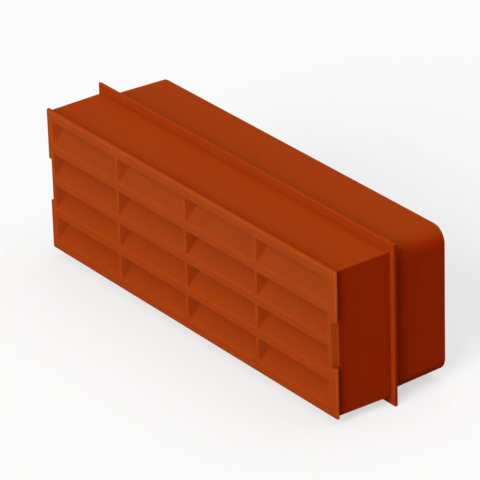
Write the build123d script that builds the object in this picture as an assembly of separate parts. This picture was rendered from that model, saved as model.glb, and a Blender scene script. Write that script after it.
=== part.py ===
from build123d import *
import os
from math import cos, radians, tan

# Louvred airbrick, moulded in one piece of plastic and built into a wall.
# X runs along the face, +Y goes into the wall and +Z is up. Lengths are in millimetres.
# The origin is under the middle of the brick, level with the foot of the flange.

# Whole brick
face_width = 215.0
face_height = 71.0
total_depth = 62.6
wall = 1.6

# Face plate
plate_thickness = 2.0
plate_edge_radius = 1.4
plate_end_step = 1.2        # how far the plate stands out past the box at each end
plate_top_step = 0.8        # and past its top and bottom

# Louvres: each has an upright strip in the face, and a blade that rises behind it
rows = 4
columns = 4
top_rim = 4.8
bottom_rim = 5.2
end_rim = 4.5
strip_height = 4.2
blade_angle = 43.0
blade_depth = 10.5
blade_thickness = 1.6
fin_thickness = 1.5
fin_depth = 16.0
sill_radius = 1.2
strip_foot_radius = 0.4
strip_into_rim = 2.0        # how far the lowest strip runs down inside the bottom rim
blade_end_radius = 0.5
lip_radius = 1.0

# Notches at half height in both ends of the plate
notch_height = 22.0
notch_depth = 3.3

# Flange round the box
flange_from_face = 31.2
flange_thickness = 1.3
flange_end_rise = 2.8
flange_top_rise = 4.1

# The box widens a little from the plate to the flange, as it draws out of its mould
front_draft_end = 0.1
front_draft_top = 0.25

# Spigot behind the flange, with rounded corners, narrowing towards its open back
spigot_width = 212.4
spigot_height = 70.8
spigot_back_width = 209.8
spigot_back_height = 70.4
spigot_radius = 7.2

# Worked out from the sizes above
box_width = face_width - 2 * plate_end_step
box_height = face_height - 2 * plate_top_step
box_back_width = box_width + 2 * front_draft_end
box_back_height = box_height + 2 * front_draft_top
flange_width = box_back_width + 2 * flange_end_rise
flange_height = box_back_height + 2 * flange_top_rise
flange_middle = flange_from_face + flange_thickness / 2
face_y = -total_depth / 2
mid_z = flange_height / 2

grille_width = face_width - 2 * end_rim
lowest_sill = bottom_rim - face_height / 2
highest_head = face_height / 2 - top_rim
opening_height = highest_head - lowest_sill
opening_middle = (highest_head + lowest_sill) / 2
row_pitch = (opening_height + strip_height) / rows
fin_pitch = (grille_width + fin_thickness) / columns
overlap = wall / 2          # how deep one form runs into the next, so that they fuse


def across(depth):
    """Plane across the brick at a depth behind the face; its drawings extrude forwards."""
    return Plane(origin=(0, face_y + depth, mid_z), x_dir=(1, 0, 0), z_dir=(0, -1, 0))


def upright(x):
    """Plane along the brick's depth at one place on its length; its drawings extrude along +X."""
    return Plane(origin=(x, face_y, mid_z), x_dir=(0, 1, 0), z_dir=(1, 0, 0))


def block(width, height, start, depth, x=0.0, z=0.0):
    """Square block, from a depth behind the face."""
    return extrude(across(start + depth) * Pos(x, z) * Rectangle(width, height), depth)


def tapered(start, end, width, height, end_width, end_height, radius=0.0):
    """Form that changes evenly from one section to another, with square or rounded corners."""
    if radius:
        sections = [RectangleRounded(width, height, radius), RectangleRounded(end_width, end_height, radius)]
    else:
        sections = [Rectangle(width, height), Rectangle(end_width, end_height)]
    return loft([across(start) * sections[0], across(end) * sections[1]], ruled=True)


def face_plate():
    """Thin plate with rounded front edges, open in the middle for the louvres."""
    blank = block(face_width, face_height, 0, plate_thickness)
    front = blank.faces().sort_by(Axis.Y)[0]
    plate = fillet(front.edges(), plate_edge_radius)
    return plate - block(grille_width, opening_height, -wall, plate_thickness + 2 * wall, z=opening_middle)


def front_box():
    """Square box behind the plate, open at both ends."""
    outside = tapered(overlap, flange_middle, box_width, box_height, box_back_width, box_back_height)
    inside = tapered(plate_thickness, flange_middle, box_width - 2 * wall, box_height - 2 * wall,
                     box_back_width - 2 * wall, box_back_height - 2 * wall)
    front_opening = block(grille_width, opening_height, 0, flange_middle, z=opening_middle)
    return outside - inside - front_opening


def flange():
    """Thin rim that stands out all round the box and is held by the mortar."""
    rim = block(flange_width, flange_height, flange_from_face, flange_thickness)
    opening_depth = flange_thickness + 2 * wall
    return rim - block(box_width - 2 * wall, box_height - 2 * wall, flange_from_face - wall, opening_depth)


def spigot():
    """Rear section that a duct or sleeve slips over, open at the back."""
    outside = tapered(flange_middle, total_depth, spigot_width, spigot_height,
                      spigot_back_width, spigot_back_height, spigot_radius)
    inside = tapered(flange_from_face, total_depth, spigot_width - 2 * wall, spigot_height - 2 * wall,
                     spigot_back_width - 2 * wall, spigot_back_height - 2 * wall, spigot_radius - wall)
    return outside - inside


def louvre(sill, strip):
    """Upright strip in the face and the blade that rises from its top edge, over the grille's whole width."""
    slope = tan(radians(blade_angle))
    upright_thickness = blade_thickness / cos(radians(blade_angle))
    blade_end = sill + blade_depth * slope
    lip_top = sill + plate_thickness * slope - upright_thickness
    outline = FilletPolyline(
        (0, sill - strip),
        (0, sill),
        (blade_depth, blade_end),
        (blade_depth, blade_end - upright_thickness),
        (plate_thickness, lip_top),
        (plate_thickness, sill - strip),
        radius=[strip_foot_radius, sill_radius, blade_end_radius, blade_end_radius, lip_radius, strip_foot_radius],
        close=True,
    )
    width = grille_width + 2 * overlap
    return extrude(upright(-width / 2) * make_face(outline), width)


def louvres():
    """All the blades. The lowest one rises from the plate's own bottom rim."""
    sills = [lowest_sill + row * row_pitch for row in range(rows)]
    return [louvre(sills[0], strip_into_rim)] + [louvre(sill, strip_height) for sill in sills[1:]]


def fins():
    """Upright fins between the columns, flush with the face."""
    face_part_height = opening_height + 2 * overlap
    made = []
    for column in range(1, columns):
        x = (column - columns / 2) * fin_pitch
        made.append(block(fin_thickness, face_part_height, 0, plate_thickness, x, opening_middle))
        made.append(block(fin_thickness, box_height - wall, plate_thickness, fin_depth - plate_thickness, x))
    return made


def end_linings():
    """Thicker stretch of the end walls beside the grille, which leaves material behind the notches."""
    thickness = box_width / 2 - wall - grille_width / 2 + overlap
    x = grille_width / 2 + thickness / 2
    start = plate_thickness - overlap
    return [block(thickness, box_height - wall, start, fin_depth - start, side * x) for side in (-1, 1)]


def notches():
    """Cuts at half height through both ends of the plate and a little of the wall behind it."""
    floor = box_width / 2 - wall
    width = face_width / 2 - floor + wall
    return [block(width, notch_height, -wall, notch_depth + wall, side * (floor + width / 2)) for side in (-1, 1)]


def airbrick():
    """The whole moulding as one solid."""
    shell = face_plate() + front_box() + flange() + spigot()
    filled = shell + louvres() + fins() + end_linings()
    return filled - notches()


brick = airbrick()
os.makedirs("parts", exist_ok=True)
export_step(brick, "parts/airbrick.step")
print("airbrick:", len(brick.solids()), "solid, volume", round(brick.volume), "mm3")
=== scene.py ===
"""Finish of a louvred airbrick: moulded terracotta plastic, a pale floor, soft daylight and a camera.

The brick is one moulding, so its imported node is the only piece. It keeps its shape and its mesh, and
gets a plastic made of nodes and the studio that it is shown in. Lengths are in metres.
"""

import math
from types import SimpleNamespace

import bmesh
import bpy
from mathutils import Matrix, Vector


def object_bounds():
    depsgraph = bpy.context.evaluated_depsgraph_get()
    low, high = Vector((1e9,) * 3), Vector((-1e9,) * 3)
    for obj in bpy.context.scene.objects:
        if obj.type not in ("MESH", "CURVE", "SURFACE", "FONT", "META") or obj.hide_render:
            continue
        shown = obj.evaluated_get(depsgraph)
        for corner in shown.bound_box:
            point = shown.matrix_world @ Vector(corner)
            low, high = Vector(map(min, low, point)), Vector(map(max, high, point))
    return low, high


bl_info = {
    "name": "Louvred airbrick",
    "version": (1, 0, 0),
    "blender": (4, 5, 0),
    "location": "3D View > Sidebar > Airbrick",
    "description": "Finishes the louvred airbrick in moulded plastic and shows it in a small studio",
    "category": "Object",
}

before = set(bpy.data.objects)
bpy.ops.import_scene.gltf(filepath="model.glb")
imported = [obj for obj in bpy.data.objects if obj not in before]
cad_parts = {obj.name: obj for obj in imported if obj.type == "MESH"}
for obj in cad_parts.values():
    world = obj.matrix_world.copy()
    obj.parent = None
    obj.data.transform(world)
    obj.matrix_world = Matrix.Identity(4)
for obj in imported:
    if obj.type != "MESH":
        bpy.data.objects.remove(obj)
CAD_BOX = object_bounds()
BRICK = "airbrick"
MM = 0.001
FACE_Y = CAD_BOX[0].y
MID_Z = (CAD_BOX[0].z + CAD_BOX[1].z) / 2

# Places on the moulding. Each pair says where a mask begins and where it is full.
# Depths run from the face into the wall. The other places are measured from the brick's middle.
BEHIND_PLATE = (1.9 * MM, 2.1 * MM)
BEHIND_FINS = (15 * MM, 17 * MM)
FLANGE_ON = (30.5 * MM, 31 * MM)
END_SKIN = (105.5 * MM, 106 * MM)
TOP_SKIN = (34 * MM, 34.5 * MM)
FLANGE_RIM = (107.6 * MM, 108.2 * MM)
OUTWARD = (0.0, 10 * MM)
TOP_ROW = (14 * MM, 19 * MM)
FOOT_TO_TOP = (-36 * MM, 36 * MM)
LEFT_TO_MIDDLE = (-104 * MM, 0.0)
INTO_RECESS = (1 * MM, 8 * MM)
# Painted shade and a painted shadow line behind the plate reach to these depths
PLATE_SHADE = (2 * MM, 10 * MM)
PLATE_LINE = (3 * MM, 4 * MM)

# How squarely a surface has to face an end, by the square of that, or the front
FACING_END = (0.4, 0.8)
FACING_FRONT = (0.3, 0.7)

# How far the normal turns at an edge, and how open an edge or a corner is
EDGE_TURN = (0.0, 0.16)
OPEN_EDGE = (0.55, 0.95)
OPEN_CORNER = (0.1, 0.8)
OPENNESS_REACH = 4 * MM
OPENNESS_SAMPLES = 8
EDGE_SAMPLES = 6

# The plastic itself. Red light spreads furthest in it.
PLASTIC_IOR = 1.49
SPREAD_WEIGHT = 0.6
SPREAD_BY_COLOUR = (1.0, 0.45, 0.2)

# Its flow lines are drawn out upright, and its edges are rubbed, with a painted highlight, only in
# patches.
FLOW_STRETCH = (1.0, 1.0, 0.12)
RUBBED_HIGHLIT_PATCH = (0.35, 0.75)

# How much the patterns change its tone and roughness. The pattern roughness is about what the
# clouds and the grain add on average, and is taken off first.
TONE_BASE = 0.93
CLOUD_TONE = 0.10
FLOW_TONE = 0.04
PATTERN_ROUGHNESS = 0.06
CLOUD_ROUGHNESS = 0.08
GRAIN_ROUGHNESS = 0.06
RUBBED_POLISH = 0.1

# Height of the flow lines, in depths of the grain
FLOW_RELIEF = 1.5

FLOOR_SEGMENTS = 96
SENSOR_WIDTH = 36.0
CLIP_START = 0.05
CLIP_END = 50.0


class Shade:
    """One socket of a node tree. Arithmetic on it adds the nodes that do it."""

    def __init__(self, tree, socket=None):
        self.tree = tree
        self.socket = socket

    def node(self, kind, sockets=None, output=0, **settings):
        """Adds a node, with its settings first and then its sockets. Gives one of its outputs."""
        made = self.tree.nodes.new(kind)
        for name, value in settings.items():
            setattr(made, name, value)
        for name, value in (sockets or {}).items():
            if isinstance(value, Shade):
                self.tree.links.new(value.socket, made.inputs[name])
            else:
                made.inputs[name].default_value = value
        return Shade(self.tree, made.outputs[output] if made.outputs else None)

    def is_vector(self):
        return self.socket.type in {"VECTOR", "RGBA"}

    def calculate(self, operation, first, second):
        """A Math node, or a Vector Math node where a side is a vector. A lone number scales a vector."""
        sides = [first, second]
        if not any(isinstance(side, Shade) and side.is_vector() for side in sides):
            return self.node("ShaderNodeMath", {0: first, 1: second}, operation=operation)
        if operation == "MULTIPLY":
            for vector, scale in (sides, sides[::-1]):
                if not (isinstance(scale, tuple) or isinstance(scale, Shade) and scale.is_vector()):
                    sockets = {0: vector, "Scale": scale}
                    return self.node("ShaderNodeVectorMath", sockets, operation="SCALE")
        return self.node("ShaderNodeVectorMath", {0: first, 1: second}, operation=operation)

    def __add__(self, other):
        return self.calculate("ADD", self, other)

    def __radd__(self, other):
        return self.calculate("ADD", other, self)

    def __sub__(self, other):
        return self.calculate("SUBTRACT", self, other)

    def __rsub__(self, other):
        return self.calculate("SUBTRACT", other, self)

    def __mul__(self, other):
        return self.calculate("MULTIPLY", self, other)

    def __rmul__(self, other):
        return self.calculate("MULTIPLY", other, self)

    def dot(self, other):
        sockets = {0: self, 1: other}
        return self.node("ShaderNodeVectorMath", sockets, output="Value", operation="DOT_PRODUCT")

    def between(self, low, high):
        """0 at the low value and 1 at the high one, smooth between."""
        sockets = {"Value": self, "From Min": low, "From Max": high}
        return self.node("ShaderNodeMapRange", sockets, interpolation_type="SMOOTHSTEP")

    def beyond(self, low, high):
        """The same for a place on either side of 0."""
        return (self * self).between(low ** 2, high ** 2)

    def blend(self, first, second):
        """The first colour where this mask is 0, and the second where it is 1."""
        return self.node("ShaderNodeMix", {0: self, 6: first, 7: second}, output=2, data_type="RGBA")


def rgba(colour):
    return (*colour, 1.0)


def new_tree(name):
    """A new material with an empty node tree."""
    material = bpy.data.materials.new(name)
    material.use_nodes = True
    material.node_tree.nodes.clear()
    return material, Shade(material.node_tree)


class PlasticSettings(bpy.types.PropertyGroup):
    """What the moulded plastic looks like."""

    colour: bpy.props.FloatVectorProperty(
        name="Colour", description="Terracotta of the plastic", subtype="COLOR", min=0, max=1,
        default=(0.355, 0.040, 0.002))
    # Painted shade: the two outer ends are tinted redder, as the side turned from the light looks.
    shaded_end_colour: bpy.props.FloatVectorProperty(
        name="End colour", description="Richer tone of the two ends", subtype="COLOR", min=0, max=1,
        default=(0.385, 0.026, 0.001))
    # Painted sheen: the face is tinted paler, as its lit front looks with a white reflection on it.
    lit_face_colour: bpy.props.FloatVectorProperty(
        name="Face colour", description="Slightly bleached tone of the louvred face", subtype="COLOR",
        min=0, max=1, default=(0.375, 0.059, 0.0085))
    # Painted light: the fins' sides are made much paler, to stand in for light that reaches them in their
    # recesses.
    painted_fin_light_colour: bpy.props.FloatVectorProperty(
        name="Scuffed colour", description="Paler tone of the fins' sides, which dragged on the mould",
        subtype="COLOR", min=0, max=1, default=(0.64, 0.12, 0.015))
    # Wear and painted highlight: open edges are paler where they are rubbed, which also paints the bright
    # line they catch.
    rubbed_and_highlight_colour: bpy.props.FloatVectorProperty(
        name="Rubbed colour", description="Paler tone of edges that were rubbed in handling",
        subtype="COLOR", min=0, max=1, default=(0.44, 0.068, 0.009))
    # Painted shade: corners, recesses and the places beside the plate and flange are darkened, as where
    # shade falls.
    painted_shade_colour: bpy.props.FloatVectorProperty(
        name="Deep colour", description="Richer tone in corners and recesses", subtype="COLOR",
        min=0, max=1, default=(0.22, 0.015, 0.0005))
    roughness: bpy.props.FloatProperty(
        name="Roughness", description="Roughness of the spark-finished surface", min=0, max=1,
        default=0.58)
    gloss: bpy.props.FloatProperty(
        name="Gloss", description="Strength of the surface's reflection", min=0, max=1, default=0.01)
    depth: bpy.props.FloatProperty(
        name="Light depth", description="How far light spreads inside the plastic", unit="LENGTH",
        default=3 * MM)
    edge_radius: bpy.props.FloatProperty(
        name="Edge radius", description="Radius that sharp edges catch the light with", unit="LENGTH",
        default=0.45 * MM)
    grain_size: bpy.props.FloatProperty(
        name="Grain size", description="Width of one grain of the mould's texture", unit="LENGTH",
        default=0.6 * MM)
    grain_depth: bpy.props.FloatProperty(
        name="Grain depth", description="Depth of the mould's texture", unit="LENGTH",
        default=0.012 * MM)
    cloud_size: bpy.props.FloatProperty(
        name="Cloud size", description="Width of the soft patches of pigment", unit="LENGTH",
        default=30 * MM)
    flow_size: bpy.props.FloatProperty(
        name="Flow line size", description="Distance between the lines that the melt left",
        unit="LENGTH", default=5 * MM)


class CameraSettings(bpy.types.PropertyGroup):
    """Where the camera stands. It aims at a point near the middle of the brick."""

    azimuth: bpy.props.FloatProperty(
        name="Azimuth", description="Angle round the brick, from its face to its right end",
        unit="ROTATION", default=math.radians(54.04))
    elevation: bpy.props.FloatProperty(
        name="Elevation", description="Angle above the floor", unit="ROTATION",
        default=math.radians(26.57))
    roll: bpy.props.FloatProperty(
        name="Roll", description="Turn about the line of sight", unit="ROTATION",
        default=math.radians(-1.74))
    distance: bpy.props.FloatProperty(
        name="Distance", description="Distance from the aim point", unit="LENGTH", default=1.74206)
    aim: bpy.props.FloatVectorProperty(
        name="Aim", description="Point in the middle of the picture", subtype="XYZ", unit="LENGTH",
        default=(0.14 * MM, -1.20 * MM, 38.95 * MM))
    lens: bpy.props.FloatProperty(
        name="Lens", description="Focal length for a sensor 36 mm wide, in millimetres",
        default=291.8)


class StudioSettings(bpy.types.PropertyGroup):
    """Floor and light. A level of 1 shows a white surface that faces the light as white."""

    floor_radius: bpy.props.FloatProperty(
        name="Floor radius", description="Radius of the round floor", unit="LENGTH", default=4.0)
    floor_colour: bpy.props.FloatVectorProperty(
        name="Floor colour", description="Colour of the floor as it is seen", subtype="COLOR",
        min=0, max=1, default=(0.99, 0.99, 0.99))
    floor_glow: bpy.props.FloatProperty(
        name="Floor glow", description="How far the floor's own light fills the shadow that is seen",
        min=0, max=1, default=0.6)
    bounce_colour: bpy.props.FloatVectorProperty(
        name="Bounce colour", description="Colour that the floor throws back on the brick",
        subtype="COLOR", min=0, max=1, default=(0.28, 0.20, 0.17))
    sky_level: bpy.props.FloatProperty(
        name="Sky level", description="Even light from all round", min=0, default=0.22)
    key_level: bpy.props.FloatProperty(
        name="Key level", description="Light from the main lamp", min=0, default=0.88)
    key_azimuth: bpy.props.FloatProperty(
        name="Key azimuth", description="Direction of the main lamp, from the face to the right end",
        unit="ROTATION", default=math.radians(20))
    key_elevation: bpy.props.FloatProperty(
        name="Key elevation", description="Height of the main lamp above the floor", unit="ROTATION",
        default=math.radians(28))
    key_spread: bpy.props.FloatProperty(
        name="Key spread", description="How wide the main lamp looks, which softens its shadows",
        unit="ROTATION", default=math.radians(40))
    top_level: bpy.props.FloatProperty(
        name="Top level", description="Light from the high lamp behind", min=0, default=0.31)
    top_azimuth: bpy.props.FloatProperty(
        name="Top azimuth", description="Direction of the high lamp, from the face to the right end",
        unit="ROTATION", default=math.radians(180))
    top_elevation: bpy.props.FloatProperty(
        name="Top elevation", description="Height of the high lamp above the floor", unit="ROTATION",
        default=math.radians(75))
    top_spread: bpy.props.FloatProperty(
        name="Top spread", description="How wide the high lamp looks", unit="ROTATION",
        default=math.radians(60))


def noise(where, size, detail=2.0):
    """Soft random pattern from 0 to 1."""
    sockets = {"Vector": where, "Scale": 1 / size, "Detail": detail}
    return where.node("ShaderNodeTexNoise", sockets, output=0)


def find_regions(start):
    """Masks of the moulding's regions, each from 0 to 1, by where a point lies and how it faces."""
    place = start.node("ShaderNodeTexCoord", output="Object")
    normal = start.node("ShaderNodeNewGeometry", output="Normal")
    across = place.dot((1, 0, 0))
    depth = place.dot((0, 1, 0)) - FACE_Y
    height = place.dot((0, 0, 1)) - MID_Z
    end_on = normal.dot((1, 0, 0))
    reach = {"Distance": OPENNESS_REACH}

    rear = depth.between(*FLANGE_ON)
    ends = across.beyond(*END_SKIN)
    box_skin = ends.calculate("MAXIMUM", ends, height.beyond(*TOP_SKIN)) * depth.between(*BEHIND_PLATE)
    rear_skin = (normal * (1, 0, 1)).dot(place - (0, 0, MID_Z)).between(*OUTWARD)
    return SimpleNamespace(
        place=place,
        normal=normal,
        across=across,
        depth=depth,
        height=height,
        rear=rear,
        grille=1.0 - depth.between(*BEHIND_FINS),
        outside=box_skin * (1.0 - rear) + rear_skin * rear,
        top_row=height.between(*TOP_ROW),
        sideways=(end_on * end_on).between(*FACING_END),
        frontal=normal.dot((0, -1, 0)).between(*FACING_FRONT),
        openness=start.node("ShaderNodeAmbientOcclusion", reach, output="AO", samples=OPENNESS_SAMPLES),
    )


def painted_face_sheen(spots):
    """Painted sheen of the lit front: paler most at its top edge and least behind the grille."""
    at_foot = 0.45
    behind = 0.3
    by_height = at_foot + spots.height.between(*FOOT_TO_TOP) * (1 - at_foot)
    by_depth = behind + spots.grille * (1 - behind)
    return spots.frontal * by_height * by_depth


def painted_fin_light(spots):
    """Painted light on the fins' sides, which makes them paler, a little more in the top row and towards
    the left end.
    """
    everywhere = 0.6
    more_on_top = 0.2
    more_at_left = 0.2
    to_left = 1.0 - spots.across.between(*LEFT_TO_MIDDLE)
    amount = everywhere + spots.top_row * more_on_top + to_left * more_at_left
    return spots.sideways * (1.0 - spots.outside) * spots.grille * amount


def rubbed_and_highlit_edges(start, spots):
    """Open edges are rubbed in patches, paler with wear and with a painted highlight, more in the face
    and the grille than behind them.
    """
    edge_radius = 0.7 * MM
    patch_size = 6 * MM
    behind = 0.2
    more_in_front = 0.6
    rounded = start.node("ShaderNodeBevel", {"Radius": edge_radius}, samples=EDGE_SAMPLES)
    edge = (1.0 - spots.normal.dot(rounded)).between(*EDGE_TURN) * spots.openness.between(*OPEN_EDGE)
    patches = noise(spots.place, patch_size).between(*RUBBED_HIGHLIT_PATCH)
    return edge * patches * (behind + spots.grille * more_in_front)


def painted_shade(spots):
    """Painted shade: darker and richer in corners and recesses, close behind the plate, and on the
    flange.
    """
    in_corners = 0.2
    in_recesses = 0.24
    near_plate = 0.35
    at_plate = 0.4
    on_flange_rim = 0.45
    on_flange_front = 0.2
    inside = 1.0 - spots.outside
    corners = (1.0 - spots.openness.between(*OPEN_CORNER)) * inside
    recesses = spots.depth.between(*INTO_RECESS) * inside * (1.0 - spots.sideways)
    recesses = recesses * spots.grille * (1.0 - spots.top_row)
    plate = (1.0 - spots.depth.between(*PLATE_SHADE)) * near_plate
    plate = plate + (1.0 - spots.depth.between(*PLATE_LINE)) * at_plate
    flange_rim = spots.sideways * spots.across.beyond(*FLANGE_RIM) * spots.rear
    shade_amount = corners * in_corners + recesses * in_recesses + plate * spots.outside
    return shade_amount + flange_rim * on_flange_rim + spots.frontal * spots.rear * on_flange_front


def mould_material(settings):
    """Moulded plastic: clouds of pigment, flow lines, rubbed edges with a painted highlight, painted
    light on the face and the fins, painted shade in corners, recesses and on the ends, and a fine grain.
    """
    material, start = new_tree("moulded_terracotta_plastic")
    spots = find_regions(start)
    clouds = noise(spots.place, settings.cloud_size, detail=4.0)
    flow = noise(spots.place * FLOW_STRETCH, settings.flow_size)
    grain = noise(spots.place, settings.grain_size, detail=3.0)
    rubbed_and_highlit = rubbed_and_highlit_edges(start, spots)

    # Painted sheen on the lit face, strongest at its top edge and weakest behind the grille.
    colour = painted_face_sheen(spots).blend(rgba(settings.colour), rgba(settings.lit_face_colour))
    # Painted shade: the outer ends take the redder tint of their shaded side.
    colour = (spots.sideways * spots.outside).blend(colour, rgba(settings.shaded_end_colour))
    # Painted light on the fins' sides in the grille.
    colour = painted_fin_light(spots).blend(colour, rgba(settings.painted_fin_light_colour))
    # Rubbed edges, paler with wear and with a painted highlight.
    colour = rubbed_and_highlit.blend(colour, rgba(settings.rubbed_and_highlight_colour))
    # Painted shade in corners, recesses, behind the plate and on the flange.
    colour = painted_shade(spots).blend(colour, rgba(settings.painted_shade_colour))
    colour = colour * (TONE_BASE + clouds * CLOUD_TONE + flow * FLOW_TONE)

    roughness = settings.roughness - PATTERN_ROUGHNESS + clouds * CLOUD_ROUGHNESS
    roughness = roughness + grain * GRAIN_ROUGHNESS - rubbed_and_highlit * RUBBED_POLISH

    relief = grain * settings.grain_depth + flow * (settings.grain_depth * FLOW_RELIEF)
    soft = start.node("ShaderNodeBevel", {"Radius": settings.edge_radius}, samples=EDGE_SAMPLES)
    sockets = {"Height": relief, "Strength": 1.0, "Distance": 1.0, "Normal": soft}
    bump = start.node("ShaderNodeBump", sockets)

    plastic = start.node("ShaderNodeBsdfPrincipled", {
        "Base Color": colour,
        "Roughness": roughness,
        "Normal": bump,
        "IOR": PLASTIC_IOR,
        "Specular IOR Level": settings.gloss,
        "Subsurface Weight": SPREAD_WEIGHT,
        "Subsurface Radius": SPREAD_BY_COLOUR,
        "Subsurface Scale": settings.depth,
    })
    start.node("ShaderNodeOutputMaterial", {"Surface": plastic})
    return material


class AIRBRICK_OT_mould(bpy.types.Operator):
    """Give the moulding its plastic"""

    bl_idname = "airbrick.mould"
    bl_label = "Finish the moulding"

    def execute(self, context):
        settings = context.scene.airbrick_plastic
        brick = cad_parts[BRICK]
        brick.data.materials.clear()
        brick.data.materials.append(mould_material(settings))
        return {"FINISHED"}


def floor_material(settings):
    """Pale matt floor, seen nearly white, which throws less light back than it shows."""
    material, start = new_tree("pale_floor")
    seen = start.node("ShaderNodeLightPath", output="Is Camera Ray")
    colour = seen.blend(rgba(settings.bounce_colour), rgba(settings.floor_colour))
    matt = start.node("ShaderNodeBsdfDiffuse", {"Color": colour})
    glow = start.node("ShaderNodeEmission", {"Color": rgba(settings.floor_colour)})
    surface = start.node("ShaderNodeMixShader", {0: seen * settings.floor_glow, 1: matt, 2: glow})
    start.node("ShaderNodeOutputMaterial", {"Surface": surface})
    return material


def round_floor(settings):
    """Round floor under the brick's lowest edge."""
    mesh = bpy.data.meshes.new("floor")
    shape = bmesh.new()
    radius = settings.floor_radius
    bmesh.ops.create_circle(shape, cap_ends=True, segments=FLOOR_SEGMENTS, radius=radius)
    shape.to_mesh(mesh)
    shape.free()
    floor = bpy.data.objects.new("floor", mesh)
    floor.location.z = CAD_BOX[0].z
    bpy.context.scene.collection.objects.link(floor)
    mesh.materials.append(floor_material(settings))


def direction(azimuth, elevation):
    """Unit vector from the brick towards a place round it. Azimuth 0 is in front of the face."""
    level = math.cos(elevation)
    return Vector((math.sin(azimuth) * level, -math.cos(azimuth) * level, math.sin(elevation)))


def lamp(name, azimuth, elevation, level, spread):
    """Wide even lamp, far off. Its level is what it adds to a white surface that faces it."""
    data = bpy.data.lights.new(name, "SUN")
    data.energy = level * math.pi
    data.angle = spread
    made = bpy.data.objects.new(name, data)
    towards = direction(azimuth, elevation)
    made.location = towards
    made.rotation_euler = towards.to_track_quat("Z", "Y").to_euler()
    bpy.context.scene.collection.objects.link(made)


def sky(settings):
    """Even light from all round, and white where the camera or a reflection looks past the floor."""
    world = bpy.data.worlds.new("sky")
    world.use_nodes = True
    world.node_tree.nodes.clear()
    start = Shade(world.node_tree)
    seen = start.node("ShaderNodeLightPath", output="Is Camera Ray")
    mirrored = start.node("ShaderNodeLightPath", output="Is Glossy Ray")
    through = start.node("ShaderNodeLightPath", output="Is Transmission Ray")
    white = (seen + mirrored + through).between(0.0, 1.0)
    level = white * (1.0 - settings.sky_level) + settings.sky_level
    light = start.node("ShaderNodeBackground", {"Color": rgba((1, 1, 1)), "Strength": level})
    start.node("ShaderNodeOutputWorld", {"Surface": light})
    bpy.context.scene.world = world


class AIRBRICK_OT_studio(bpy.types.Operator):
    """Lay the pale floor and light it"""

    bl_idname = "airbrick.studio"
    bl_label = "Set up the studio"

    def execute(self, context):
        settings = context.scene.airbrick_studio
        round_floor(settings)
        lamp("key", settings.key_azimuth, settings.key_elevation, settings.key_level, settings.key_spread)
        lamp("top", settings.top_azimuth, settings.top_elevation, settings.top_level, settings.top_spread)
        sky(settings)
        context.scene.view_settings.view_transform = "Standard"
        return {"FINISHED"}


class AIRBRICK_OT_camera(bpy.types.Operator):
    """Place the camera in front of the brick's right end"""

    bl_idname = "airbrick.camera"
    bl_label = "Place the camera"

    def execute(self, context):
        settings = context.scene.airbrick_camera
        data = bpy.data.cameras.new("camera")
        data.sensor_width = SENSOR_WIDTH
        data.lens = settings.lens
        data.clip_start = CLIP_START
        data.clip_end = CLIP_END
        camera = bpy.data.objects.new("camera", data)
        towards = direction(settings.azimuth, settings.elevation)
        turn = towards.to_track_quat("Z", "Y").to_matrix() @ Matrix.Rotation(settings.roll, 3, "Z")
        place = Vector(settings.aim) + towards * settings.distance
        camera.matrix_world = Matrix.Translation(place) @ turn.to_4x4()
        context.scene.collection.objects.link(camera)
        context.scene.camera = camera
        return {"FINISHED"}


GROUPS = {
    "airbrick_camera": CameraSettings,
    "airbrick_plastic": PlasticSettings,
    "airbrick_studio": StudioSettings,
}
STEPS = (AIRBRICK_OT_camera, AIRBRICK_OT_mould, AIRBRICK_OT_studio)


class AIRBRICK_PT_panel(bpy.types.Panel):
    """Steps that finish and show the airbrick, and their settings"""

    bl_label = "Louvred airbrick"
    bl_space_type = "VIEW_3D"
    bl_region_type = "UI"
    bl_category = "Airbrick"

    def draw(self, context):
        for step in STEPS:
            self.layout.operator(step.bl_idname)
        for name in GROUPS:
            settings = getattr(context.scene, name)
            box = self.layout.box()
            for setting in settings.__annotations__:
                box.prop(settings, setting)


CLASSES = (*GROUPS.values(), *STEPS, AIRBRICK_PT_panel)


def register():
    for made in CLASSES:
        bpy.utils.register_class(made)
    for name, group in GROUPS.items():
        setattr(bpy.types.Scene, name, bpy.props.PointerProperty(type=group))


def unregister():
    for name in GROUPS:
        delattr(bpy.types.Scene, name)
    for made in reversed(CLASSES):
        bpy.utils.unregister_class(made)


def main():
    register()
    bpy.ops.airbrick.camera()
    bpy.ops.airbrick.mould()
    bpy.ops.airbrick.studio()


if __name__ == "__main__":
    main()
